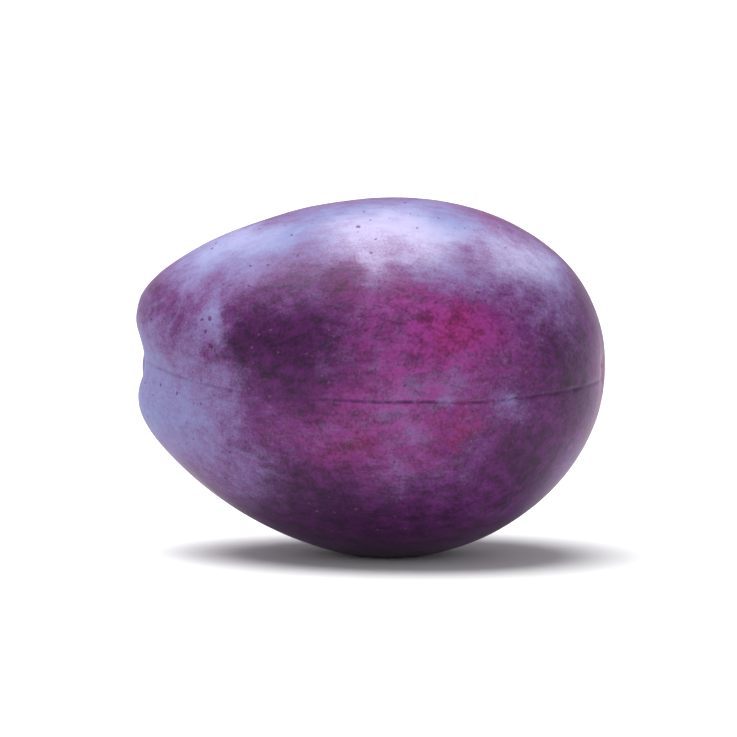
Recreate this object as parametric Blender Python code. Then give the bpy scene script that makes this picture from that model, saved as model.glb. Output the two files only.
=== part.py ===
"""A ripe European plum, as picked: one solid that lies on a small flat spot.

Run it with: blender --background --python part.py

Metres, +Z up. The fruit's axis lies along X, with the stem end at -X and the tip
at +X. The suture, the seam that runs down one side of the fruit, faces -Y. The
origin is on the surface that the plum rests on, below the middle of its box.
"""

import math

import bmesh
import bpy
from mathutils import Vector, noise

# Driving dimensions, in metres.
LENGTH = 0.060  # from the stem shoulders to the tip
BREADTH = 0.0465  # from the suture to the back
HEIGHT = 0.0455  # from cheek to cheek, as the plum lies
FLAT_SINK = 0.0004  # how much of the belly the flat spot takes away

# The belly is fullest a little past the middle, and the stem end is slimmer.
TAPER = 0.146  # change of girth per half length, towards the tip
SHOULDER_SLIMNESS = 0.081  # how much slimmer the shoulders are than an ellipse
END_FULLNESS = 0.080  # how much of that the blunt ends fill in again
END_LIFT = 0.0024  # how far the axis curves up at the two ends
STEM_LIFT = 0.0006  # how much further it rises at the stem end

# The pit that the stem was pulled from, and the dimple at the tip.
PIT_DEPTH = 0.0037
PIT_RADIUS = 0.0048
TIP_DIMPLE_DEPTH = 0.0003
TIP_DIMPLE_RADIUS = 0.0016

# The suture is a valley that is deep at the stem end and shallow along the cheek.
SUTURE_DEPTH_STEM = 0.0019
SUTURE_DEPTH_CHEEK = 0.00022
SUTURE_REACH = 0.42  # how far the deep part runs, in half lengths
SUTURE_HALF_WIDTH = 0.0044
SUTURE_FADE = 0.0030  # depth over which the valley fades out towards the back
SUTURE_DROP = 0.0009  # how far below the axis it runs halfway along
SUTURE_SLANT = 0.0006  # how much lower still it runs a half length on, at the tip

# Slow unevenness that every fruit has.
LUMP_HEIGHT = 0.00028
LUMP_SIZE = 0.017
LUMP_SHIFT = Vector((3.1, 7.4, 1.9))

# The mesh: rows of faces along each side of the cube that becomes the fruit.
ROWS = 22
SEAM_CROWDING = 0.45  # how much closer the faces lie along the suture
RIM_SPACING = 0.0005  # the flat spot's rim has no two points closer than this
CUT_TOLERANCE = 0.000001
SHARP_ANGLE = math.radians(40)  # a steeper fold than this is shaded as an edge

SKIN_COLOUR = (0.150, 0.045, 0.150, 1.0)
SKIN_ROUGHNESS = 0.5


def clear_scene():
    """Removes every object of the startup scene."""
    for thing in list(bpy.data.objects):
        bpy.data.objects.remove(thing, do_unlink=True)


def smooth_step(value):
    """0 below 0, 1 above 1 and a smooth rise between."""
    share = min(1.0, max(0.0, value))
    return share * share * (3.0 - 2.0 * share)


def on_sphere(corner):
    """Spreads a point of the cube from -1 to 1 evenly over the unit sphere."""
    spread = Vector(math.tan(math.pi / 4 * side) for side in corner)
    return spread.normalized()


def crowd_to_seam(direction):
    """Turns a direction about X towards the suture at -Y, to crowd the mesh there."""
    around = math.atan2(direction.z, -direction.y)
    ring = math.hypot(direction.y, direction.z)
    around -= SEAM_CROWDING * math.sin(around)
    return Vector((direction.x, -ring * math.cos(around), ring * math.sin(around)))


def seam_depth(along):
    """Depth of the suture's valley at a place from -1, the stem, to 1, the tip."""
    from_stem = math.exp(-(((along + 1.0) / SUTURE_REACH) ** 2))
    return SUTURE_DEPTH_CHEEK + (SUTURE_DEPTH_STEM - SUTURE_DEPTH_CHEEK) * from_stem


def fruit_point(direction):
    """The skin's point for a direction from the fruit's middle."""
    half = Vector((LENGTH, BREADTH, HEIGHT)) / 2
    along = direction.x
    girth = 1.0 + TAPER * along - SHOULDER_SLIMNESS * along**2 + END_FULLNESS * along**4
    point = Vector((half.x * along, half.y * girth * direction.y, half.z * girth * direction.z))
    outward = Vector((direction.x / half.x, direction.y / half.y, direction.z / half.z))
    outward.normalize()

    from_axis = math.hypot(point.y, point.z)
    if along < 0:
        point.x += PIT_DEPTH * math.exp(-((from_axis / PIT_RADIUS) ** 2))
    else:
        point.x -= TIP_DIMPLE_DEPTH * math.exp(-((from_axis / TIP_DIMPLE_RADIUS) ** 2))

    off_seam = point.z + SUTURE_DROP + SUTURE_SLANT * along
    across = math.exp(-((off_seam / SUTURE_HALF_WIDTH) ** 2))
    on_seam_side = smooth_step(0.5 - point.y / SUTURE_FADE)
    lump = noise.noise(point / LUMP_SIZE + LUMP_SHIFT)
    point += outward * (LUMP_HEIGHT * lump - seam_depth(along) * across * on_seam_side)

    point.z += END_LIFT * along**2 - STEM_LIFT * along
    return point


def fit_to_box(mesh):
    """Scales and places the mesh so that its box has the driving dimensions."""
    points = [vertex.co for vertex in mesh.verts]
    low = Vector(min(point[k] for point in points) for k in range(3))
    high = Vector(max(point[k] for point in points) for k in range(3))
    wanted = Vector((LENGTH, BREADTH, HEIGHT + FLAT_SINK))
    middle = (low + high) / 2
    for vertex in mesh.verts:
        for k in range(3):
            vertex.co[k] = (vertex.co[k] - middle[k]) * wanted[k] / (high[k] - low[k])
        vertex.co.z += wanted.z / 2 - FLAT_SINK


def cut_flat_spot(mesh):
    """Takes away what lies below the resting surface and closes the cut with one face."""
    everything = mesh.verts[:] + mesh.edges[:] + mesh.faces[:]
    cut = bmesh.ops.bisect_plane(
        mesh,
        geom=everything,
        dist=CUT_TOLERANCE,
        plane_co=(0.0, 0.0, 0.0),
        plane_no=(0.0, 0.0, 1.0),
        clear_inner=True,
    )
    rim = [item for item in cut["geom_cut"] if isinstance(item, bmesh.types.BMVert)]
    for vertex in rim:
        vertex.co.z = 0.0
    bmesh.ops.remove_doubles(mesh, verts=rim, dist=RIM_SPACING)
    open_edges = [edge for edge in mesh.edges if edge.is_boundary]
    bmesh.ops.contextual_create(mesh, geom=open_edges)


def skin_material():
    """The plain purple finish of the solid."""
    material = bpy.data.materials.new("plum_skin")
    material.use_nodes = True
    shader = material.node_tree.nodes["Principled BSDF"]
    shader.inputs["Base Color"].default_value = SKIN_COLOUR
    shader.inputs["Roughness"].default_value = SKIN_ROUGHNESS
    shader.inputs["Metallic"].default_value = 0.0
    return material


def make_plum():
    """The whole fruit, from a cube rounded into a sphere and then into a plum."""
    shape = bmesh.new()
    bmesh.ops.create_cube(shape, size=2.0)
    bmesh.ops.subdivide_edges(shape, edges=shape.edges, cuts=ROWS - 1, use_grid_fill=True)
    for vertex in shape.verts:
        vertex.co = fruit_point(crowd_to_seam(on_sphere(vertex.co)))
    fit_to_box(shape)
    cut_flat_spot(shape)
    bmesh.ops.recalc_face_normals(shape, faces=shape.faces)

    mesh = bpy.data.meshes.new("plum")
    shape.to_mesh(mesh)
    shape.free()
    mesh.shade_smooth()
    mesh.set_sharp_from_angle(angle=SHARP_ANGLE)
    mesh.materials.append(skin_material())
    plum = bpy.data.objects.new("plum", mesh)
    bpy.context.scene.collection.objects.link(plum)
    return plum


clear_scene()
make_plum()
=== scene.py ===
"""The looks of a ripe European plum, as picked, that lies on its belly.

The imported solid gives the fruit's box, and the fruit is modelled again here on the
same curves, with a finer mesh and the details of its skin. The fruit's axis lies
along X, with the stem end at -X and the tip at +X. The suture, the seam down one
cheek, faces -Y.

Sizes are in millimetres, and they become metres where a mesh or the camera is made.
"""

import logging
import math
from collections.abc import Callable
from dataclasses import dataclass, field
from enum import Enum

import bpy
import numpy as np
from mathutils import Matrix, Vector, noise


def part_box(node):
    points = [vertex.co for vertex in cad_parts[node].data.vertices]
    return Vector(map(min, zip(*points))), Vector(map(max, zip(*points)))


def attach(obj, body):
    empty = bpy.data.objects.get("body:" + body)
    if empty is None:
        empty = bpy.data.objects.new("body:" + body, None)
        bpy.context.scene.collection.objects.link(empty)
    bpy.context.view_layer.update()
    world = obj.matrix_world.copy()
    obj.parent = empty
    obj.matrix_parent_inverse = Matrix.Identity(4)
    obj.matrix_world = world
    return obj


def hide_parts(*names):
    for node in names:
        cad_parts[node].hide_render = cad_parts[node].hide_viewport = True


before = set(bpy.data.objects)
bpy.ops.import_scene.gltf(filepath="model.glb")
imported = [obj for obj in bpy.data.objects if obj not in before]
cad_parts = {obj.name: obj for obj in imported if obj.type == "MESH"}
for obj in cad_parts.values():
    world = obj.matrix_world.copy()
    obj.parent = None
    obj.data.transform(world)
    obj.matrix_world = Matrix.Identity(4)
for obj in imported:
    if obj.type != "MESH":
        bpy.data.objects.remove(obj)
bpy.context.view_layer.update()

LOG = logging.getLogger("plum")
MM = 0.001  # one millimetre in metres
NOISE_MIDDLE = 0.5  # the value that a noise node's outputs lie around
NOISE_SPREAD = 4.0  # stretches such an output to about -1 to 1

Pair = tuple[float, float]
Triple = tuple[float, float, float]


class Mark(Enum):
    """What a patch on the fruit shows."""

    # Nearly black skin, and also painted shade low on the fruit and at the tip end.
    DARK_SKIN_AND_SHADE = "nearly black purple skin"
    MAGENTA = "magenta skin"
    CRIMSON = "crimson skin that got less sun"
    BLOOM = "thick waxy bloom"
    # Paler wax, and also the painted highlight on the top of the fruit.
    PALE_WAX_AND_HIGHLIGHT = "bloom that is paler and pinker than elsewhere"
    RUBBED = "bloom that was rubbed away"
    SPECKLED = "a cluster of dark specks"


# --- Shader expressions ---


class Field:
    """One output socket of a shader graph, which takes part in Python expressions."""

    def __init__(self, graph: "Graph", socket: bpy.types.NodeSocket) -> None:
        """Wraps a socket.

        Args:
            graph: The graph that new nodes go into.
            socket: The output socket.
        """
        self.graph = graph
        self.socket = socket

    @property
    def is_vector(self) -> bool:
        """Whether the socket carries three numbers, as a vector or a colour."""
        return self.socket.type in {"VECTOR", "RGBA"}

    def _with(self, operation: str, first: object, second: object) -> "Field":
        """Adds the node of one operator.

        Args:
            operation: The operation's name, the same in Math and in Vector Math.
            first: The left side, a field or a number.
            second: The right side, a field or a number.

        Returns:
            The result.
        """
        sides = (first, second)
        vector = any(isinstance(side, Field) and side.is_vector for side in sides)
        kind = "ShaderNodeVectorMath" if vector else "ShaderNodeMath"
        return self.graph.add(kind, {"operation": operation}, {0: first, 1: second})

    def __add__(self, other: object) -> "Field":
        """self + other"""
        return self._with("ADD", self, other)

    def __radd__(self, other: object) -> "Field":
        """other + self"""
        return self._with("ADD", other, self)

    def __sub__(self, other: object) -> "Field":
        """self - other"""
        return self._with("SUBTRACT", self, other)

    def __rsub__(self, other: object) -> "Field":
        """other - self"""
        return self._with("SUBTRACT", other, self)

    def __mul__(self, other: object) -> "Field":
        """self * other"""
        return self._with("MULTIPLY", self, other)

    def __rmul__(self, other: object) -> "Field":
        """other * self"""
        return self._with("MULTIPLY", other, self)

    def __truediv__(self, other: object) -> "Field":
        """self / other"""
        return self._with("DIVIDE", self, other)

    def __rtruediv__(self, other: object) -> "Field":
        """other / self"""
        return self._with("DIVIDE", other, self)

    def __abs__(self) -> "Field":
        """The value without its sign."""
        return self.graph.add("ShaderNodeMath", {"operation": "ABSOLUTE"}, {0: self})

    def sine(self) -> "Field":
        """The sine of the value, in radians."""
        return self.graph.add("ShaderNodeMath", {"operation": "SINE"}, {0: self})

    def beside(self, output: int | str) -> "Field":
        """Another output of the same node."""
        return Field(self.graph, self.socket.node.outputs[output])

    def length(self) -> "Field":
        """The length of the vector."""
        sockets = {0: self}
        return self.graph.add("ShaderNodeVectorMath", {"operation": "LENGTH"}, sockets, "Value")

    def axes(self) -> tuple["Field", "Field", "Field"]:
        """The vector's X, Y and Z."""
        split = ("ShaderNodeSeparateXYZ", {}, {0: self})
        return tuple(self.graph.add(*split, axis) for axis in "XYZ")

    def smooth(self, low: float, high: float) -> "Field":
        """Turns the value into a smooth rise.

        Args:
            low: The value that gives 0.
            high: The value that gives 1. It may be the smaller one, for a fall.

        Returns:
            The rise, from 0 to 1.
        """
        rising = low < high
        settings = {"interpolation_type": "SMOOTHSTEP"}
        sockets = {
            "Value": self,
            "From Min": min(low, high),
            "From Max": max(low, high),
            "To Min": 0.0 if rising else 1.0,
            "To Max": 1.0 if rising else 0.0,
        }
        return self.graph.add("ShaderNodeMapRange", settings, sockets, "Result")


class Graph:
    """The nodes of one material or world, and the only place that adds nodes to it."""

    # A Mix node has sockets of the same names for each kind of value, so these are numbers.
    MIX_INPUTS = (0, 6, 7)  # the factor and the two colours
    MIX_OUTPUT = 2  # the mixed colour

    def __init__(self, tree: bpy.types.NodeTree) -> None:
        """Starts from an empty tree.

        Args:
            tree: The node tree, which loses the nodes that it came with.
        """
        self.tree = tree
        tree.nodes.clear()

    def add(
        self,
        kind: str,
        settings: dict[str, object] | None = None,
        sockets: dict[int | str, object] | None = None,
        output: int | str = 0,
    ) -> Field:
        """Adds a node, sets it, and then fills its sockets.

        Args:
            kind: The node's type.
            settings: What to set on the node, by property name.
            sockets: What its inputs take, by name or number: fields or plain values.
            output: The name or number of the output that is wanted.

        Returns:
            That output.
        """
        node = self.tree.nodes.new(kind)
        for name, value in (settings or {}).items():
            setattr(node, name, value)
        for name, value in (sockets or {}).items():
            entry = node.inputs[name]
            if isinstance(value, Field):
                self.tree.links.new(value.socket, entry)
            elif isinstance(value, float) and hasattr(entry.default_value, "__len__"):
                entry.default_value = [value] * len(entry.default_value)
            else:
                entry.default_value = value
        return Field(self, node.outputs[output] if node.outputs else None)

    def place(self) -> Field:
        """The place on the object, in millimetres."""
        return self.add("ShaderNodeTexCoord", output="Object") * (1.0 / MM)

    def mix(self, share: Field, first: "Field | Triple", second: "Field | Triple") -> Field:
        """Mixes two colours.

        Args:
            share: How much of the second there is, from 0 to 1.
            first: The colour at 0.
            second: The colour at 1.

        Returns:
            The mixed colour.
        """
        sides = [side if isinstance(side, Field) else (*side, 1.0) for side in (first, second)]
        sockets = dict(zip(self.MIX_INPUTS, (share, *sides)))
        return self.add("ShaderNodeMix", {"data_type": "RGBA"}, sockets, self.MIX_OUTPUT)

    def close(self, kind: str, shader: Field) -> None:
        """Links a shader to the tree's output node, which is of this kind."""
        self.add(kind, {}, {"Surface": shader})


@dataclass(frozen=True)
class Cloud:
    """Cloudy unevenness of a finish, with lumps of one size and finer ones."""

    size: float  # how far apart its largest lumps are
    octaves: float  # how many finer layers it has
    seed: Triple  # where in the noise it starts, so that two alike ones differ
    squeeze: float = 1.0  # below 1 it is drawn out into streaks along the fruit

    def field(self, graph: Graph, at: Field) -> Field:
        """The cloud at a place.

        Args:
            graph: Where its nodes go.
            at: The place, in millimetres.

        Returns:
            The value there, mostly from -1 to 1.
        """
        where = at * (self.squeeze, 1.0, 1.0) + self.seed
        sockets = {"Vector": where, "Scale": 1.0 / self.size, "Detail": self.octaves}
        noise_value = graph.add("ShaderNodeTexNoise", {}, sockets, "Fac")
        return (noise_value - NOISE_MIDDLE) * NOISE_SPREAD


@dataclass(frozen=True)
class Drift:
    """Noise that moves places, so that what is drawn there gets an uneven edge."""

    size: float  # how far apart the moves differ
    reach: float  # how far a place moves at most
    seed: Triple
    octaves: float = 2.0

    def moved(self, graph: Graph, at: Field) -> Field:
        """Moves a place.

        Args:
            graph: Where its nodes go.
            at: The place, in millimetres.

        Returns:
            The moved place.
        """
        sockets = {"Vector": at + self.seed, "Scale": 1.0 / self.size, "Detail": self.octaves}
        cloud = graph.add("ShaderNodeTexNoise", {}, sockets, "Color")
        return at + (cloud - NOISE_MIDDLE) * (2.0 * self.reach)


@dataclass(frozen=True)
class Dots:
    """Small round dots, strewn at random."""

    spacing: float  # how far apart their middles are in space
    widest: float  # the largest dot's radius
    share: float  # the share of the dots that is there
    share_step: float = 0.02  # the share over which the last of them grow faint
    narrowest: float = 0.4  # the smallest dot's radius, as a share of the largest
    rim: Pair = (-0.1, 0.35)  # where a dot's edge fades, as shares of the largest

    def field(self, graph: Graph, at: Field) -> Field:
        """The dots at a place.

        Args:
            graph: Where their nodes go.
            at: The place, in millimetres.

        Returns:
            1 inside a dot and 0 outside, with a soft edge.
        """
        sockets = {"Vector": at, "Scale": 1.0 / self.spacing}
        near = graph.add("ShaderNodeTexVoronoi", {}, sockets, "Distance")
        chance, size, _ = near.beside("Color").axes()
        radius = (size * (1.0 - self.narrowest) + self.narrowest) * self.widest
        outside, within = (edge * self.widest for edge in self.rim)
        inside = (radius - near * self.spacing).smooth(outside, within)
        return inside * chance.smooth(self.share, self.share - self.share_step)


# --- The fruit's form ---


def smooth_step(share: np.ndarray) -> np.ndarray:
    """0 below 0, 1 above 1 and a smooth rise between."""
    share = np.clip(share, 0.0, 1.0)
    return share * share * (3.0 - 2.0 * share)


def bell(distance: np.ndarray, reach: float) -> np.ndarray:
    """1 at no distance, and nearly 0 from twice the reach."""
    return np.exp(-((distance / reach) ** 2))


@dataclass(frozen=True)
class Lumps:
    """Smooth unevenness of a shape, with lumps of one size."""

    height: float
    size: float  # how far apart the lumps are
    seed: Triple  # where in the noise they start

    def at(self, points: np.ndarray) -> np.ndarray:
        """The unevenness at some places.

        Args:
            points: The places, one a row.

        Returns:
            How far the skin stands out or in at each, at most the height.
        """
        starts = points / self.size + np.array(self.seed)
        return self.height * np.array([noise.noise(Vector(start)) for start in starts])


@dataclass(frozen=True)
class Sway:
    """One wave of the crease about its valley's middle."""

    height: float
    length: float  # along the fruit, for one radian
    start: float  # in radians

    def at(self, across: "np.ndarray | Field", sine: Callable) -> "np.ndarray | Field":
        """How far the crease strays there, worked out with the sine for such values."""
        return sine(across * (1.0 / self.length) + self.start) * self.height


@dataclass(frozen=True)
class Girth:
    """How the fruit swells along its axis: fullest a little past the middle."""

    taper: float = 0.146  # change of girth per half length, towards the tip
    shoulder_slimness: float = 0.081  # how much slimmer the shoulders are than an ellipse
    end_fullness: float = 0.080  # how much of that the blunt ends fill in again
    end_lift: float = 2.4  # how far the axis curves up at the two ends
    stem_lift: float = 0.6  # how much further it rises at the stem end

    def share(self, along: np.ndarray) -> np.ndarray:
        """The girth at a place from -1, the stem, to 1, the tip, as a share."""
        shoulders = self.end_fullness * along**4 - self.shoulder_slimness * along**2
        return 1.0 + self.taper * along + shoulders

    def rise(self, along: np.ndarray) -> np.ndarray:
        """How far the axis has risen there."""
        return self.end_lift * along**2 - self.stem_lift * along


@dataclass(frozen=True)
class StemPit:
    """The pit that the stem was pulled from, with the corky scar on its floor."""

    depth: float = 3.7
    radius: float = 4.8
    folds: int = 7  # faint folds that run into the pit
    fold_depth: float = 0.07
    fold_turn: float = 0.9  # how far they are turned from even places, in radians
    fold_turn_start: float = 0.5  # in radians
    fold_place: float = 5.4  # how far from the axis they are deepest
    fold_reach: float = 2.4
    funnel_depth: float = 1.1  # how much deeper it is right round the scar
    funnel_radius: float = 2.3
    scar_radius: float = 1.35
    scar_sink: float = 0.28
    scar_sink_reach: float = 0.8  # in scar radii
    rim_height: float = 0.14
    rim_place: float = 1.15  # in scar radii
    rim_reach: float = 0.35  # in scar radii

    def inward(self, from_axis: np.ndarray, around: np.ndarray) -> np.ndarray:
        """How far the stem end's skin is pushed in along the axis.

        Args:
            from_axis: Distances from the axis.
            around: Angles around the axis.

        Returns:
            The depths.
        """
        bowl = self.depth * bell(from_axis, self.radius)
        bowl += self.funnel_depth * bell(from_axis, self.funnel_radius)
        turned = self.fold_turn * np.sin(2.0 * around + self.fold_turn_start)
        folds = self.fold_depth * np.cos(self.folds * around + turned)
        folds *= bell(from_axis - self.fold_place, self.fold_reach)
        in_scars = from_axis / self.scar_radius
        scar = self.scar_sink * bell(in_scars, self.scar_sink_reach)
        rim = self.rim_height * bell(in_scars - self.rim_place, self.rim_reach)
        return bowl + folds + scar - rim


@dataclass(frozen=True)
class TipDimple:
    """The shallow dimple at the tip, with the tiny point that the flower left."""

    depth: float = 0.30
    radius: float = 1.6
    point_height: float = 0.22
    point_radius: float = 0.36

    def inward(self, from_axis: np.ndarray) -> np.ndarray:
        """How far the tip's skin is pushed in along the axis."""
        point = self.point_height * bell(from_axis, self.point_radius)
        return self.depth * bell(from_axis, self.radius) - point


@dataclass(frozen=True)
class Suture:
    """The seam down one cheek: a wide valley, and a thin crease on its floor."""

    depth_stem: float = 1.9
    depth_cheek: float = 0.22
    reach: float = 0.42  # how far the deep part runs, in half lengths
    half_width: float = 4.4
    fade: float = 3.0  # depth over which the valley fades out towards the back
    drop: float = 0.9  # how far below the axis it runs halfway along
    slant: float = 0.6  # how much lower still it runs a half length on, at the tip
    crease_depth: float = 0.15
    crease_half_width: float = 0.24
    crease_usual: float = 0.8  # its usual share of that depth
    crease_breaks: Lumps = Lumps(0.7, 2.4, (5.5, 0.8, 3.6))  # how much that share varies
    crease_faint: float = 0.35  # how clear it is near the stem
    crease_rise: Pair = (-0.35, 0.15)  # where it grows clear, in half lengths
    long_sway: Sway = Sway(0.24, 5.4, 0.6)
    short_sway: Sway = Sway(0.07, 1.9, 2.0)

    def floor_depth(self, along: np.ndarray) -> np.ndarray:
        """The valley's depth at a place from -1, the stem, to 1, the tip."""
        deepening = self.depth_stem - self.depth_cheek
        return self.depth_cheek + deepening * bell(along + 1.0, self.reach)

    def sway(self, across: "np.ndarray | Field", sine: Callable) -> "np.ndarray | Field":
        """How far the crease strays from the valley's middle.

        Args:
            across: Places along X, in millimetres, as numbers or as a field.
            sine: The sine function for such values.

        Returns:
            The stray, in millimetres, as the same kind of value.
        """
        return self.long_sway.at(across, sine) + self.short_sway.at(across, sine)

    def inward(self, along: np.ndarray, points: np.ndarray) -> np.ndarray:
        """How deep the seam lies below the round skin.

        Args:
            along: Places from -1, the stem, to 1, the tip.
            points: The same places in millimetres, one a row.

        Returns:
            The depths.
        """
        seam_side = smooth_step(0.5 - points[:, 1] / self.fade)
        off_seam = points[:, 2] + self.drop + self.slant * along
        valley = self.floor_depth(along) * bell(off_seam, self.half_width)
        off_crease = off_seam - self.sway(points[:, 0], np.sin)
        broken = self.crease_usual + self.crease_breaks.at(points)
        clear = self.crease_depth * self.crease_share(along) * broken
        return (valley + clear * bell(off_crease, self.crease_half_width)) * seam_side

    def crease_share(self, along: np.ndarray) -> np.ndarray:
        """How clear the crease is: faint near the stem, clear towards the tip.

        Args:
            along: Places from -1, the stem, to 1, the tip.

        Returns:
            Its share of the full depth.
        """
        start, end = self.crease_rise
        grown = smooth_step((along - start) / (end - start))
        return self.crease_faint + (1.0 - self.crease_faint) * grown


@dataclass(frozen=True)
class Fit:
    """The move and stretch that bring the drawn fruit into the solid's box."""

    scale: np.ndarray
    shift: np.ndarray

    def apply(self, points: np.ndarray) -> np.ndarray:
        """The points in their final place."""
        return points * self.scale + self.shift


@dataclass
class PlumFruit:
    """The whole fruit, in one piece."""

    low: Vector  # the solid's lowest corner, in millimetres
    high: Vector  # its highest corner
    flat_sink: float = 0.4  # how much of the belly the flat spot takes away
    flat_softness: float = 0.12  # how gently the flat spot runs out
    rows: int = 128  # faces along each side of the cube that becomes the fruit
    seam_crowding: float = 0.45  # how much closer the faces lie along the suture
    girth: Girth = field(default_factory=Girth)
    pit: StemPit = field(default_factory=StemPit)
    tip: TipDimple = field(default_factory=TipDimple)
    suture: Suture = field(default_factory=Suture)
    unevenness: tuple[Lumps, ...] = (
        Lumps(0.28, 17.0, (3.1, 7.4, 1.9)),
        Lumps(0.060, 6.5, (8.2, 1.3, 4.4)),
        Lumps(0.016, 2.4, (2.7, 5.9, 9.3)),
    )

    @property
    def size(self) -> np.ndarray:
        """The fruit's length, breadth and height."""
        return np.array(self.high - self.low)

    @property
    def half_length(self) -> float:
        """Half the fruit's length."""
        return float(self.size[0] / 2)

    def cube_grid(self) -> tuple[np.ndarray, np.ndarray]:
        """A cube from -1 to 1 whose sides are cut into squares.

        Returns:
            The points, one a row, and the corners of each square.
        """
        steps = np.linspace(-1.0, 1.0, self.rows + 1)
        across, up = (grid.ravel() for grid in np.meshgrid(steps, steps, indexing="ij"))
        out = np.ones_like(across)
        sides = [
            np.roll(np.stack([sign * out, sign * across, up], axis=1), turn, axis=1)
            for turn in range(3)
            for sign in (-1.0, 1.0)
        ]
        ranks = np.arange(len(out)).reshape(self.rows + 1, -1)
        square = np.stack(
            [ranks[:-1, :-1], ranks[1:, :-1], ranks[1:, 1:], ranks[:-1, 1:]], axis=-1
        ).reshape(-1, 4)
        squares = np.concatenate([square + side * len(out) for side in range(len(sides))])
        keys = np.rint(np.concatenate(sides) * self.rows).astype(int)
        unique, ranks = np.unique(keys, axis=0, return_inverse=True)
        return unique / self.rows, ranks.ravel()[squares]

    def directions(self, cube: np.ndarray) -> np.ndarray:
        """Turns the cube's points into directions, closer together along the suture.

        Args:
            cube: Points on a cube from -1 to 1.

        Returns:
            Unit vectors.
        """
        spread = np.tan(math.pi / 4 * cube)
        spread /= np.linalg.norm(spread, axis=1, keepdims=True)
        around = np.arctan2(spread[:, 2], -spread[:, 1])
        ring = np.hypot(spread[:, 1], spread[:, 2])
        around -= self.seam_crowding * np.sin(around)
        return np.stack([spread[:, 0], -ring * np.cos(around), ring * np.sin(around)], axis=1)

    def skin(self, ways: np.ndarray) -> np.ndarray:
        """The skin's points for some directions from the fruit's middle.

        Args:
            ways: Unit vectors.

        Returns:
            Points, before the fit.
        """
        half = self.size / 2
        along = ways[:, 0]
        girth = self.girth.share(along)
        points = half * ways
        points[:, 1:] *= girth[:, None]
        outward = ways / half
        outward /= np.linalg.norm(outward, axis=1, keepdims=True)

        from_axis = np.hypot(points[:, 1], points[:, 2])
        around = np.arctan2(points[:, 2], points[:, 1])
        at_stem = along < 0
        pushed = np.where(at_stem, self.pit.inward(from_axis, around), -self.tip.inward(from_axis))
        points[:, 0] += pushed

        height = sum(lumps.at(points) for lumps in self.unevenness)
        points += outward * (height - self.suture.inward(along, points))[:, None]
        points[:, 2] += self.girth.rise(along)
        return points

    def fit(self, points: np.ndarray) -> Fit:
        """Finds how the drawn fruit comes into the solid's box.

        Args:
            points: The drawn points. Their belly still reaches below the flat spot.

        Returns:
            The fit.
        """
        lowest, highest = points.min(axis=0), points.max(axis=0)
        wanted_low = np.array(self.low) - [0.0, 0.0, self.flat_sink]
        scale = (np.array(self.high) - wanted_low) / (highest - lowest)
        return Fit(scale, wanted_low - lowest * scale)

    def flatten_belly(self, points: np.ndarray) -> None:
        """Presses what lies below the resting surface up to it, with a soft edge.

        Args:
            points: The fruit's points, which are changed in place.
        """
        height = points[:, 2]
        pressed = (height + np.hypot(height, self.flat_softness)) / 2
        points[:, 2] = pressed - pressed.min()

    def build(self) -> tuple[bpy.types.Object, Fit]:
        """Makes the fruit.

        Returns:
            The piece, and the fit that its skin's drawing needs.
        """
        cube, squares = self.cube_grid()
        drawn = self.skin(self.directions(cube))
        fit = self.fit(drawn)
        points = fit.apply(drawn)
        self.flatten_belly(points)
        mesh = bpy.data.meshes.new("plum_fruit")
        mesh.from_pydata((points * MM).tolist(), [], squares.tolist())
        mesh.shade_smooth()
        piece = bpy.data.objects.new("plum_fruit", mesh)
        bpy.context.scene.collection.objects.link(piece)
        return piece, fit


# --- The fruit's skin ---


@dataclass(frozen=True)
class Patch:
    """A soft spot on the skin."""

    mark: Mark
    centre: Triple
    reach: Triple  # how far it runs from its centre, along X, Y and Z
    strength: float
    core: float = 0.1  # up to this share of its reach it is at full strength

    def field(self, graph: Graph, at: Field) -> Field:
        """The spot at a place.

        Args:
            graph: Where its nodes go.
            at: The place, in millimetres.

        Returns:
            How much of the spot there is, from 0 to its strength.
        """
        inverse = tuple(1.0 / length for length in self.reach)
        distance = ((at - self.centre) * inverse).length()
        return distance.smooth(1.0, self.core) * self.strength


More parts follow.
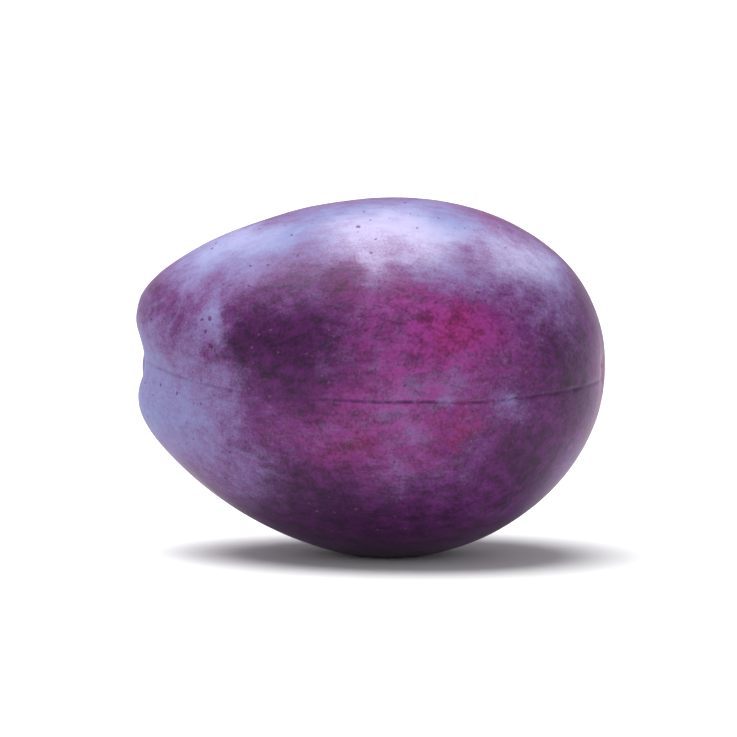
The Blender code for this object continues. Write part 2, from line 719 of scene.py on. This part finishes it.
PATCHES = (
    # The cheek with the suture: the bloom, from the stem end to the tip.
    Patch(Mark.BLOOM, (-27.0, -9.0, 21.0), (14.5, 16.0, 15.0), 0.78),
    Patch(Mark.BLOOM, (-18.0, -17.0, 20.0), (9.0, 11.0, 8.0), 0.42),
    Patch(Mark.BLOOM, (-16.0, -15.0, 12.0), (13.0, 12.0, 11.0), 0.24),
    Patch(Mark.BLOOM, (-12.5, -18.0, 9.0), (7.0, 8.0, 6.0), 0.17),
    Patch(Mark.BLOOM, (-14.5, -19.0, 25.5), (6.5, 6.0, 4.0), 0.32),
    Patch(Mark.BLOOM, (-20.0, -14.0, 30.0), (9.0, 10.0, 7.5), 0.30),
    Patch(Mark.BLOOM, (-16.5, -17.0, 31.0), (5.0, 6.0, 5.0), 0.40),
    Patch(Mark.BLOOM, (-18.0, -8.0, 39.5), (15.0, 16.0, 8.0), 0.95),
    # These three thicken the wax where the lamp's highlight falls on the top: thick wax and
    # painted highlight.
    Patch(Mark.BLOOM, (3.0, -8.0, 45.0), (26.0, 15.0, 7.5), 0.78),
    Patch(Mark.BLOOM, (4.0, -13.0, 41.0), (18.0, 11.0, 7.5), 0.48),
    Patch(Mark.BLOOM, (10.0, -17.0, 38.5), (14.0, 8.0, 4.5), 0.34),
    Patch(Mark.BLOOM, (-8.5, -11.5, 41.5), (8.5, 9.0, 5.5), 0.36),
    Patch(Mark.BLOOM, (14.5, -10.0, 42.0), (10.0, 8.0, 5.0), 0.44),
    Patch(Mark.BLOOM, (17.0, -14.0, 35.5), (8.0, 8.0, 5.0), 0.28),
    Patch(Mark.BLOOM, (22.0, -7.5, 38.0), (10.0, 10.0, 7.0), 0.85),
    Patch(Mark.BLOOM, (24.5, -11.0, 32.5), (5.5, 7.0, 5.0), 0.30),
    Patch(Mark.BLOOM, (11.5, -22.0, 24.0), (8.0, 5.0, 3.6), 0.26),
    Patch(Mark.BLOOM, (6.0, -22.0, 19.5), (7.0, 5.0, 4.5), 0.24),
    Patch(Mark.BLOOM, (6.0, -20.0, 12.0), (2.4, 6.0, 6.5), 0.22),
    Patch(Mark.BLOOM, (16.5, -19.0, 13.5), (4.5, 6.0, 5.5), 0.20),
    Patch(Mark.BLOOM, (19.5, -18.5, 20.0), (3.4, 5.0, 3.0), 0.28),
    Patch(Mark.BLOOM, (27.0, -5.0, 11.0), (5.0, 8.0, 6.0), 0.30),
    # Paler wax and painted highlight, where the lamp lights the top.
    Patch(Mark.PALE_WAX_AND_HIGHLIGHT, (4.0, -13.0, 40.5), (12.5, 14.0, 8.5), 1.0),
    Patch(Mark.PALE_WAX_AND_HIGHLIGHT, (20.0, -8.5, 39.0), (12.5, 12.0, 9.0), 0.62),
    Patch(Mark.PALE_WAX_AND_HIGHLIGHT, (-17.0, -8.0, 41.0), (14.0, 14.0, 8.0), 0.42),
    Patch(Mark.RUBBED, (-8.0, -20.0, 29.0), (12.0, 8.0, 7.5), 0.32),
    Patch(Mark.RUBBED, (12.0, -19.0, 31.5), (11.0, 8.0, 5.5), 0.26),
    # These three bare patches, at the tip end and low on the cheek, are partly worn wax and partly
    # painted shade.
    Patch(Mark.RUBBED, (21.0, -15.0, 14.0), (10.0, 8.0, 7.0), 0.34),
    Patch(Mark.RUBBED, (25.0, -13.0, 22.0), (8.0, 9.0, 8.0), 0.32),
    Patch(Mark.RUBBED, (0.0, -15.0, 6.0), (24.0, 14.0, 10.0), 0.34),
    Patch(Mark.RUBBED, (-2.0, -20.0, 12.5), (7.0, 7.0, 5.0), 0.26),
    Patch(Mark.RUBBED, (-4.5, -22.0, 23.5), (8.0, 6.0, 4.5), 0.26),
    Patch(Mark.RUBBED, (-0.5, -17.0, 37.0), (4.5, 6.0, 4.0), 0.34),
    Patch(Mark.RUBBED, (-22.5, -12.0, 29.0), (4.0, 6.0, 4.0), 0.30),
    Patch(Mark.RUBBED, (13.5, -20.5, 17.0), (4.5, 5.0, 3.5), 0.28),
    Patch(Mark.SPECKLED, (-18.0, -16.5, 29.5), (3.6, 5.0, 4.5), 1.0),
    Patch(Mark.SPECKLED, (19.8, -18.0, 25.0), (3.0, 4.0, 2.8), 1.0),
    Patch(Mark.SPECKLED, (-2.0, -20.0, 34.0), (6.0, 5.0, 3.0), 0.8),
    Patch(Mark.SPECKLED, (23.0, -13.0, 12.0), (4.0, 5.0, 4.0), 0.8),
    # The same cheek's skin below the bloom.
    Patch(Mark.DARK_SKIN_AND_SHADE, (-6.0, -20.5, 29.0), (17.0, 12.0, 11.0), 1.05),
    Patch(Mark.DARK_SKIN_AND_SHADE, (-13.0, -19.0, 29.0), (6.0, 6.0, 4.5), 0.45),
    Patch(Mark.DARK_SKIN_AND_SHADE, (-5.0, -21.0, 23.5), (11.0, 8.0, 7.0), 0.20),
    # Painted shade: darker skin low on the fruit and at the tip end.
    Patch(Mark.DARK_SKIN_AND_SHADE, (-15.0, -12.0, 4.0), (9.0, 9.0, 7.0), 0.70),
    Patch(Mark.DARK_SKIN_AND_SHADE, (2.0, -12.0, 4.0), (27.0, 16.0, 12.0), 0.95),
    Patch(Mark.DARK_SKIN_AND_SHADE, (28.0, -10.0, 25.0), (9.0, 10.0, 12.0), 0.95),
    Patch(Mark.DARK_SKIN_AND_SHADE, (22.5, -13.0, 13.0), (7.5, 8.0, 8.0), 1.00),
    Patch(Mark.DARK_SKIN_AND_SHADE, (-4.0, -18.0, 9.5), (17.0, 9.0, 7.0), 1.00),
    Patch(Mark.DARK_SKIN_AND_SHADE, (0.0, -22.0, 15.5), (15.0, 8.0, 7.0), 0.22),
    Patch(Mark.MAGENTA, (10.0, -20.5, 29.5), (22.0, 13.0, 13.0), 1.1),
    Patch(Mark.MAGENTA, (4.0, -22.0, 18.0), (21.0, 10.0, 12.0), 0.9),
    Patch(Mark.MAGENTA, (12.0, -8.0, 42.0), (24.0, 14.0, 9.0), 0.85),
    Patch(Mark.CRIMSON, (13.0, -19.5, 31.0), (9.0, 8.0, 6.5), 0.70),
    Patch(Mark.CRIMSON, (14.5, -20.5, 18.5), (6.0, 5.0, 4.5), 0.70),
    Patch(Mark.CRIMSON, (1.5, -22.0, 16.5), (7.0, 5.0, 6.0), 0.60),
    # The cheek at the back.
    Patch(Mark.BLOOM, (10.0, 15.0, 40.0), (18.0, 13.0, 10.0), 0.50),
    Patch(Mark.BLOOM, (-22.0, 14.0, 24.0), (13.0, 13.0, 15.0), 0.60),
    Patch(Mark.BLOOM, (22.0, 15.0, 15.0), (12.0, 12.0, 10.0), 0.40),
    # Paler wax and painted highlight on the top.
    Patch(Mark.PALE_WAX_AND_HIGHLIGHT, (-4.0, 13.0, 41.0), (20.0, 14.0, 9.0), 0.80),
    Patch(Mark.RUBBED, (-3.0, 22.0, 27.0), (13.0, 8.0, 8.0), 0.30),
    Patch(Mark.DARK_SKIN_AND_SHADE, (-8.0, 20.0, 30.0), (15.0, 10.0, 9.0), 0.90),
    # Painted shade low on the back cheek.
    Patch(Mark.DARK_SKIN_AND_SHADE, (2.0, 14.0, 4.0), (28.0, 14.0, 13.0), 0.90),
    Patch(Mark.MAGENTA, (8.0, 21.0, 24.0), (19.0, 12.0, 15.0), 1.0),
    Patch(Mark.CRIMSON, (14.0, 19.0, 30.0), (9.0, 8.0, 7.0), 0.60),
    Patch(Mark.SPECKLED, (-10.0, 19.0, 20.0), (6.0, 5.0, 5.0), 0.8),
    # The two ends.
    Patch(Mark.BLOOM, (-29.0, 0.0, 26.0), (8.0, 10.0, 10.0), 0.40),
    Patch(Mark.MAGENTA, (28.0, 2.0, 22.0), (11.0, 14.0, 13.0), 0.80),
)


def weighed(parts: tuple[Field, ...], weights: tuple[float, ...]) -> Field:
    """Adds up fields, each with a weight of its own.

    Args:
        parts: The fields.
        weights: As many weights.

    Returns:
        The sum.
    """
    first, *others = (part * weight for part, weight in zip(parts, weights))
    return sum(others, first)


@dataclass(frozen=True)
class BareSkin:
    """The skin below the wax: purple, with redder and darker patches, some of them painted shade.
    """

    purple: Triple = (0.105, 0.013, 0.115)
    # The darkest skin: dark patches, specks and the crease, and also painted shade low on the
    # fruit and at the tip end.
    darkest_and_shade: Triple = (0.052, 0.007, 0.060)
    magenta: Triple = (0.255, 0.030, 0.198)
    crimson: Triple = (0.315, 0.022, 0.155)
    lenticel: Triple = (0.230, 0.105, 0.190)
    cloud: Cloud = Cloud(6.0, 4.0, (2.0, 9.0, 5.0))
    mottle: Cloud = Cloud(1.7, 4.0, (6.0, 1.0, 3.0))
    streaks: Cloud = Cloud(1.1, 3.0, (1.0, 4.0, 7.0), squeeze=0.30)
    stipple: Cloud = Cloud(0.45, 3.0, (9.0, 2.0, 1.0))
    edge_parts: Triple = (0.30, 0.30, 0.12)  # cloud, mottle and streaks in a patch's edge
    crimson_parts: Pair = (0.30, 0.15)  # mottle and streaks in crimson skin
    darkening_parts: Triple = (0.55, 0.45, 0.40)  # stipple, streaks and mottle in the uneven darkening
    usual_darkening: float = 0.45
    deepest_darkening: float = 0.62  # how much the uneven darkening takes away at most
    magenta_rise: Pair = (0.0, 1.1)
    crimson_rise: Pair = (0.2, 1.2)
    dark_and_shade_rise: Pair = (-0.1, 1.3)
    darkening_rise: Pair = (-0.2, 1.2)
    lenticels: Dots = Dots(spacing=1.5, widest=0.24, share=0.8)
    lenticel_share: float = 0.30  # how clearly the lenticels show

    def colour(self, graph: Graph, place: Field, marks: dict[Mark, Field]) -> Field:
        """The colour of the skin.

        Args:
            graph: The material's graph.
            place: The place, in millimetres.
            marks: How much of each kind of mark there is.

        Returns:
            The colour.
        """
        kinds = (self.cloud, self.mottle, self.streaks, self.stipple)
        cloud, mottle, streaks, stipple = (kind.field(graph, place) for kind in kinds)
        uneven = weighed((cloud, mottle, streaks), self.edge_parts)
        redder = (marks[Mark.MAGENTA] + uneven).smooth(*self.magenta_rise)
        colour = graph.mix(redder, self.purple, self.magenta)
        uneven_red = weighed((mottle, streaks), self.crimson_parts)
        reddest = (marks[Mark.CRIMSON] + uneven_red).smooth(*self.crimson_rise)
        colour = graph.mix(reddest, colour, self.crimson)
        # Dark skin, and painted shade low on the fruit and at the tip end.
        darker = (marks[Mark.DARK_SKIN_AND_SHADE] + uneven).smooth(*self.dark_and_shade_rise)
        colour = graph.mix(darker, colour, self.darkest_and_shade)
        darkening = weighed((stipple, streaks, mottle), self.darkening_parts) + self.usual_darkening
        colour = colour * (1.0 - darkening.smooth(*self.darkening_rise) * self.deepest_darkening)
        lenticels = self.lenticels.field(graph, place) * self.lenticel_share
        return graph.mix(lenticels, colour, self.lenticel)


@dataclass(frozen=True)
class WaxFilm:
    """A film of pale wax, thick in patches and rubbed thin between, with a painted highlight on
    top.
    """

    haze: Triple = (0.195, 0.072, 0.230)  # what thin wax looks like
    wax: Triple = (0.205, 0.238, 0.445)  # what thick wax looks like
    # The frost colour also paints the highlight on the top.
    highlight_wax: Triple = (0.460, 0.430, 0.640)  # thick wax where it is palest
    bare_coverage: float = 0.10  # the wax where no patch says otherwise
    haze_share: float = 0.65  # how much of the skin's colour thin wax hides
    thickest: float = 0.96  # how much of it the thickest wax hides
    thin_rise: Pair = (0.0, 0.7)
    coverage_rise: Pair = (-0.30, 1.25)
    speckle_parts: tuple[float, ...] = (0.10, 0.11, 0.13, 0.14)  # cloud, mottle, streaks, dust
    bank_edge: Pair = (1.3, 0.2)  # how far from the crease wax has gathered
    bank_share: float = 0.35  # how much has gathered there
    heap_rise: Pair = (0.0, 0.7)
    cloud: Cloud = Cloud(7.0, 4.0, (2.0, 9.0, 5.0))
    mottle: Cloud = Cloud(2.0, 4.0, (3.0, 7.0, 2.0))
    streaks: Cloud = Cloud(0.8, 3.0, (8.0, 1.0, 5.0), squeeze=0.35)
    dust: Cloud = Cloud(0.28, 2.0, (4.0, 2.0, 8.0))
    heaps: Cloud = Cloud(3.4, 2.0, (5.0, 5.0, 1.0))

    def thickness(
        self, graph: Graph, place: Field, marks: dict[Mark, Field], off: Field, clear: Field
    ) -> Field:
        """How thick the wax is.

        Args:
            graph: The material's graph.
            place: The place, in millimetres.
            marks: How much of each kind of mark there is.
            off: How far the suture's crease is.
            clear: How clear the crease is there.

        Returns:
            The thickness, from 0 to 1.
        """
        kinds = (self.cloud, self.mottle, self.streaks, self.dust)
        clouds = tuple(kind.field(graph, place) for kind in kinds)
        speckle = weighed(clouds, self.speckle_parts)
        heaps = self.heaps.field(graph, place).smooth(*self.heap_rise)
        banks = off.smooth(*self.bank_edge) * clear * heaps * self.bank_share
        coverage = marks[Mark.BLOOM] - marks[Mark.RUBBED] + self.bare_coverage
        return (coverage + speckle + banks).smooth(*self.coverage_rise)

    def over(self, graph: Graph, film: Field, paleness_and_highlight: Field, skin: Field) -> Field:
        """Lays the wax over the skin, and paints the highlight on the top with the palest wax.

        Args:
            graph: The material's graph.
            film: How thick the wax is, from 0 to 1.
            paleness_and_highlight: How much paler it is than elsewhere.
            skin: The colour of the skin.

        Returns:
            The colour of both.
        """
        thin = film.smooth(*self.thin_rise) * self.haze_share
        thick = film * film * self.thickest
        # The palest wax also paints the highlight on the top.
        wax = graph.mix(paleness_and_highlight.smooth(0.0, 1.0), self.wax, self.highlight_wax)
        return graph.mix(thick, graph.mix(thin, skin, self.haze), wax)


@dataclass(frozen=True)
class Specks:
    """Small dark pits in the skin: a few everywhere, and many where it is speckled."""

    edge: Drift = Drift(size=0.7, reach=0.30, seed=(3.0, 3.0, 6.0))
    small: Dots = Dots(spacing=1.2, widest=0.26, share=0.35)
    large: Dots = Dots(spacing=3.4, widest=0.46, share=0.16)
    clustered: Dots = Dots(spacing=1.0, widest=0.42, share=0.8)
    cluster_rise: Pair = (0.1, 0.7)

    def field(self, graph: Graph, place: Field, speckled: Field) -> Field:
        """The specks at a place.

        Args:
            graph: The material's graph.
            place: The place, in millimetres.
            speckled: How much the skin is speckled there.

        Returns:
            1 in a speck, 0 outside.
        """
        at = self.edge.moved(graph, place)
        cluster = self.clustered.field(graph, at) * speckled.smooth(*self.cluster_rise)
        strewn = self.small.field(graph, at) + self.large.field(graph, at)
        return (strewn + cluster).smooth(0.0, 1.0)


@dataclass(frozen=True)
class Cork:
    """The corky scars that the stem and the flower left."""

    pale: Triple = (0.240, 0.135, 0.090)
    dark: Triple = (0.070, 0.032, 0.030)
    grain: Cloud = Cloud(0.30, 3.0, (2.0, 2.0, 7.0))
    hides: float = 0.9  # how much of the skin's colour it hides

    def over(self, graph: Graph, place: Field, scars: Field, skin: Field) -> Field:
        """Lays the cork over the skin.

        Args:
            graph: The material's graph.
            place: The place, in millimetres.
            scars: 1 on a scar, 0 outside.
            skin: The colour of the skin.

        Returns:
            The colour of both.
        """
        grain = self.grain.field(graph, place).smooth(-1.0, 1.0)
        return graph.mix(scars * self.hides, skin, graph.mix(grain, self.dark, self.pale))


@dataclass(frozen=True)
class Relief:
    """The bumps that are too fine for the mesh."""

    mottle: Cloud = Cloud(1.9, 3.0, (6.0, 1.0, 3.0))
    grain: Cloud = Cloud(0.50, 3.0, (4.0, 2.0, 8.0))
    mottle_height: float = 0.010
    skin_grain: float = 0.004  # the grain's height on bare skin
    wax_grain: float = 0.006  # how much higher it is on thick wax
    speck_depth: float = 0.03

    def normal(self, graph: Graph, place: Field, film: Field, specks: Field) -> Field:
        """The surface's direction with the bumps.

        Args:
            graph: The material's graph.
            place: The place, in millimetres.
            film: How thick the wax is.
            specks: 1 in a speck, 0 outside.

        Returns:
            The direction.
        """
        grain = self.grain.field(graph, place) * (film * self.wax_grain + self.skin_grain)
        mottle = self.mottle.field(graph, place) * self.mottle_height
        height = mottle + grain - specks * self.speck_depth
        return graph.add("ShaderNodeBump", {}, {"Height": height, "Distance": MM, "Strength": 1.0})


@dataclass(frozen=True)
class PlumSkin:
    """The whole finish of the fruit, with some painted shade and a painted highlight."""

    fruit: PlumFruit
    fit: Fit
    skin: BareSkin = field(default_factory=BareSkin)
    wax: WaxFilm = field(default_factory=WaxFilm)
    specks: Specks = field(default_factory=Specks)
    cork: Cork = field(default_factory=Cork)
    relief: Relief = field(default_factory=Relief)
    patch_edges: tuple[Drift, ...] = (
        Drift(9.0, 4.0, (1.0, 5.0, 2.0)),
        Drift(2.6, 1.4, (7.0, 3.0, 4.0)),
    )
    scar_edge: Drift = Drift(1.3, 0.32, (2.0, 6.0, 4.0))
    stem_rim: Pair = (1.15, 0.75)  # where the stem's scar fades, in its radii
    flower_rim: Pair = (1.5, 0.9)  # where the flower's scar fades, in its radii
    end_rise: Pair = (0.5, 0.8)  # where the two ends begin, in half lengths
    seam_side: Pair = (0.5, -2.5)  # where the suture's side begins, along Y
    line_gaps: Cloud = Cloud(1.6, 3.0, (6.0, 1.0, 3.0))  # where the crease's dark line is faint
    gap_rise: Pair = (-0.9, 0.5)
    line_reach: Pair = (0.34, 0.06)  # how far from the crease it fades
    line_share: float = 0.9  # how dark it is
    speck_share: float = 0.6  # how dark a speck is, and how little wax it holds
    # Less wax on the pit's floor darkens it: partly the pit's own skin, partly painted shade in
    # the hollow.
    pit_bareness_and_shade: float = 0.55  # how much less wax there is on the floor of the pit
    wax_roughness: float = 0.60
    skin_roughness: float = 0.36
    coat: float = 0.15
    coat_roughness: float = 0.38
    sheen: float = 0.02
    sheen_tint: Triple = (0.80, 0.84, 1.0)
    specular: float = 0.10

    def marks(self, graph: Graph, at: Field) -> dict[Mark, Field]:
        """Adds up the patches.

        Args:
            graph: The material's graph.
            at: The place, in millimetres.

        Returns:
            How much of each kind of mark there is.
        """
        for edge in self.patch_edges:
            at = edge.moved(graph, at)
        sums: dict[Mark, Field] = {}
        for patch in PATCHES:
            spot = patch.field(graph, at)
            sums[patch.mark] = sums[patch.mark] + spot if patch.mark in sums else spot
        return sums

    def off_seam(self, place: Field) -> tuple[Field, Field]:
        """Where a place is from the suture's crease.

        Args:
            place: The place, in millimetres.

        Returns:
            The distance from the crease, and how clear the crease is there.
        """
        suture, girth = self.fruit.suture, self.fruit.girth
        scale, shift = self.fit.scale.tolist(), self.fit.shift.tolist()
        x, y, z = place.axes()
        drawn_x = (x - shift[0]) / scale[0]
        along = drawn_x / self.fruit.half_length
        rise = (along * girth.end_lift - (girth.stem_lift + suture.slant)) * along
        middle = rise + suture.sway(drawn_x, Field.sine) - suture.drop
        crease = middle * scale[2] + shift[2]
        grown = along.smooth(*suture.crease_rise)
        clear = grown * (1.0 - suture.crease_faint) + suture.crease_faint
        return abs(z - crease), clear * y.smooth(*self.seam_side)

    def round_axis(self, place: Field, end: float) -> tuple[Field, Field]:
        """Where a place is from the fruit's axis, at one end.

        Args:
            place: The place, in millimetres.
            end: -1 for the stem end, 1 for the tip.

        Returns:
            The distance from the axis, and 1 near that end or 0 far from it.
        """
        drawn = [end * self.fruit.half_length, 0.0, self.fruit.girth.rise(end)]
        middle = tuple(self.fit.apply(np.array(drawn)).tolist())
        distance = ((place - middle) * (0.0, 1.0, 1.0)).length()
        along = place.axes()[0] * (end / self.fruit.half_length)
        return distance, along.smooth(*self.end_rise)

    def scars(self, graph: Graph, place: Field) -> tuple[Field, Field]:
        """Where the skin differs at the two ends.

        Args:
            graph: The material's graph.
            place: The place, in millimetres.

        Returns:
            1 on the scars of the stem and the flower, and 1 on the floor of the pit.
        """
        ragged = self.scar_edge.moved(graph, place)
        from_stem, at_stem = self.round_axis(ragged, -1.0)
        from_tip, at_tip = self.round_axis(ragged, 1.0)
        pit, tip = self.fruit.pit, self.fruit.tip
        stem_edge = (edge * pit.scar_radius for edge in self.stem_rim)
        flower_edge = (edge * tip.point_radius for edge in self.flower_rim)
        scars = from_stem.smooth(*stem_edge) * at_stem + from_tip.smooth(*flower_edge) * at_tip
        return scars, from_stem.smooth(pit.radius, pit.scar_radius) * at_stem

    def material(self) -> bpy.types.Material:
        """Makes the finish.

        Returns:
            The material.
        """
        made = bpy.data.materials.new("plum_skin")
        made.use_nodes = True
        graph = Graph(made.node_tree)
        place = graph.place()
        marks = self.marks(graph, place)
        off, clear = self.off_seam(place)
        specks = self.specks.field(graph, place, marks[Mark.SPECKLED])
        scars, floor = self.scars(graph, place)

        film = self.wax.thickness(graph, place, marks, off, clear)
        # Less wax on the pit's floor: partly the pit's own skin, partly painted shade in the
        # hollow.
        film = film * (1.0 - specks * self.speck_share) * (1.0 - floor * self.pit_bareness_and_shade)
        skin = self.skin.colour(graph, place, marks)
        skin = graph.mix(specks * self.speck_share, skin, self.skin.darkest_and_shade)
        colour = self.wax.over(graph, film, marks[Mark.PALE_WAX_AND_HIGHLIGHT], skin)
        gaps = self.line_gaps.field(graph, place).smooth(*self.gap_rise)
        line = off.smooth(*self.line_reach) * clear * gaps * self.line_share
        colour = graph.mix(line, colour, self.skin.darkest_and_shade)
        colour = self.cork.over(graph, place, scars, colour)

        rougher = self.wax_roughness - self.skin_roughness
        sockets = {
            "Base Color": colour,
            "Roughness": film * rougher + self.skin_roughness,
            "Coat Weight": (1.0 - film) * self.coat,
            "Coat Roughness": self.coat_roughness,
            "Sheen Weight": self.sheen,
            "Sheen Tint": (*self.sheen_tint, 1.0),
            "Specular IOR Level": self.specular,
            "Normal": self.relief.normal(graph, place, film, specks),
        }
        shader = graph.add("ShaderNodeBsdfPrincipled", {}, sockets)
        graph.close("ShaderNodeOutputMaterial", shader)
        return made


# --- The studio ---


@dataclass(frozen=True)
class PaleFloor:
    """The plain pale floor that the fruit lies on."""

    side: float = 8000.0
    colour: Triple = (0.86, 0.87, 0.87)

    def build(self) -> bpy.types.Object:
        """Makes the floor.

        Returns:
            The floor, which isn't part of the object.
        """
        half = self.side / 2 * MM
        corners = [(-half, -half, 0.0), (half, -half, 0.0), (half, half, 0.0), (-half, half, 0.0)]
        mesh = bpy.data.meshes.new("floor")
        mesh.from_pydata(corners, [], [(0, 1, 2, 3)])
        floor = bpy.data.objects.new("floor", mesh)
        bpy.context.scene.collection.objects.link(floor)
        made = bpy.data.materials.new("pale_floor")
        made.use_nodes = True
        graph = Graph(made.node_tree)
        sockets = {"Base Color": (*self.colour, 1.0), "Roughness": 1.0, "Specular IOR Level": 0.0}
        graph.close("ShaderNodeOutputMaterial", graph.add("ShaderNodeBsdfPrincipled", {}, sockets))
        mesh.materials.append(made)
        return floor


@dataclass(frozen=True)
class SoftLight:
    """A bright room and one very wide lamp overhead."""

    overhead: float = 0.30  # the room's brightness above
    horizon: float = 1.10
    lamp_strength: float = 4.5
    lamp_width: float = 56.0  # degrees of sky that the lamp covers
    lamp_back: float = 2.0  # degrees that it stands behind the fruit
    lamp_left: float = 11.0  # degrees that it stands to the left

    def build(self) -> None:
        """Makes the room's light and the lamp."""
        world = bpy.data.worlds.new("room")
        world.use_nodes = True
        graph = Graph(world.node_tree)
        way = graph.add("ShaderNodeTexCoord", output="Generated")
        height = way.axes()[2].smooth(0.0, 1.0)
        brightness = height * (self.overhead - self.horizon) + self.horizon
        shader = graph.add("ShaderNodeBackground", {}, {"Strength": brightness})
        graph.close("ShaderNodeOutputWorld", shader)
        bpy.context.scene.world = world

        lamp = bpy.data.lights.new("overhead_lamp", "SUN")
        lamp.energy = self.lamp_strength
        lamp.angle = math.radians(self.lamp_width)
        holder = bpy.data.objects.new("overhead_lamp", lamp)
        holder.rotation_euler = (math.radians(-self.lamp_back), math.radians(-self.lamp_left), 0.0)
        bpy.context.scene.collection.objects.link(holder)


@dataclass(frozen=True)
class StudioCamera:
    """A camera with a long lens, a little above the fruit and a little to its tip's side."""

    azimuth: float = 7.5  # degrees round towards the tip
    elevation: float = 5.5
    distance: float = 750.0
    fruit_share: float = 0.64  # how much of the frame's width the fruit takes
    raise_share: float = 0.01  # how far above its middle the camera aims, in frame widths
    sensor: float = 36.0
    nearest: float = 10.0  # the camera sees nothing that is closer

    def build(self, low: Vector, high: Vector) -> bpy.types.Object:
        """Makes the camera.

        Args:
            low: The fruit's lowest corner.
            high: Its highest corner.

        Returns:
            The camera.
        """
        turn, tilt = math.radians(self.azimuth), math.radians(self.elevation)
        level = Vector((math.sin(turn), -math.cos(turn), 0.0)) * math.cos(tilt)
        back = level + Vector((0.0, 0.0, math.sin(tilt)))
        frame_width = (high.x - low.x) / self.fruit_share
        lens = bpy.data.cameras.new("camera")
        lens.sensor_width = self.sensor
        lens.lens = self.sensor * self.distance / frame_width
        lens.shift_y = self.raise_share
        lens.clip_start = self.nearest * MM
        camera = bpy.data.objects.new("camera", lens)
        camera.location = ((low + high) / 2 + back * self.distance) * MM
        camera.rotation_euler = back.to_track_quat("Z", "Y").to_euler()
        bpy.context.scene.collection.objects.link(camera)
        bpy.context.scene.camera = camera
        return camera


def main() -> None:
    """Builds the studio and the fruit, and reports each."""
    logging.basicConfig(level=logging.INFO, format="%(name)s: %(message)s")
    bpy.context.scene.view_settings.view_transform = "Standard"
    low, high = (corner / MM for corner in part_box("plum"))
    camera = StudioCamera().build(low, high)
    LOG.info("camera at %s", tuple(round(value, 3) for value in camera.location))
    SoftLight().build()
    PaleFloor().build()

    fruit = PlumFruit(low, high)
    piece, fit = fruit.build()
    piece.data.materials.append(PlumSkin(fruit, fit).material())
    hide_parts("plum")
    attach(piece, "root")
    LOG.info("fruit of %d faces", len(piece.data.polygons))


if __name__ == "__main__":
    main()
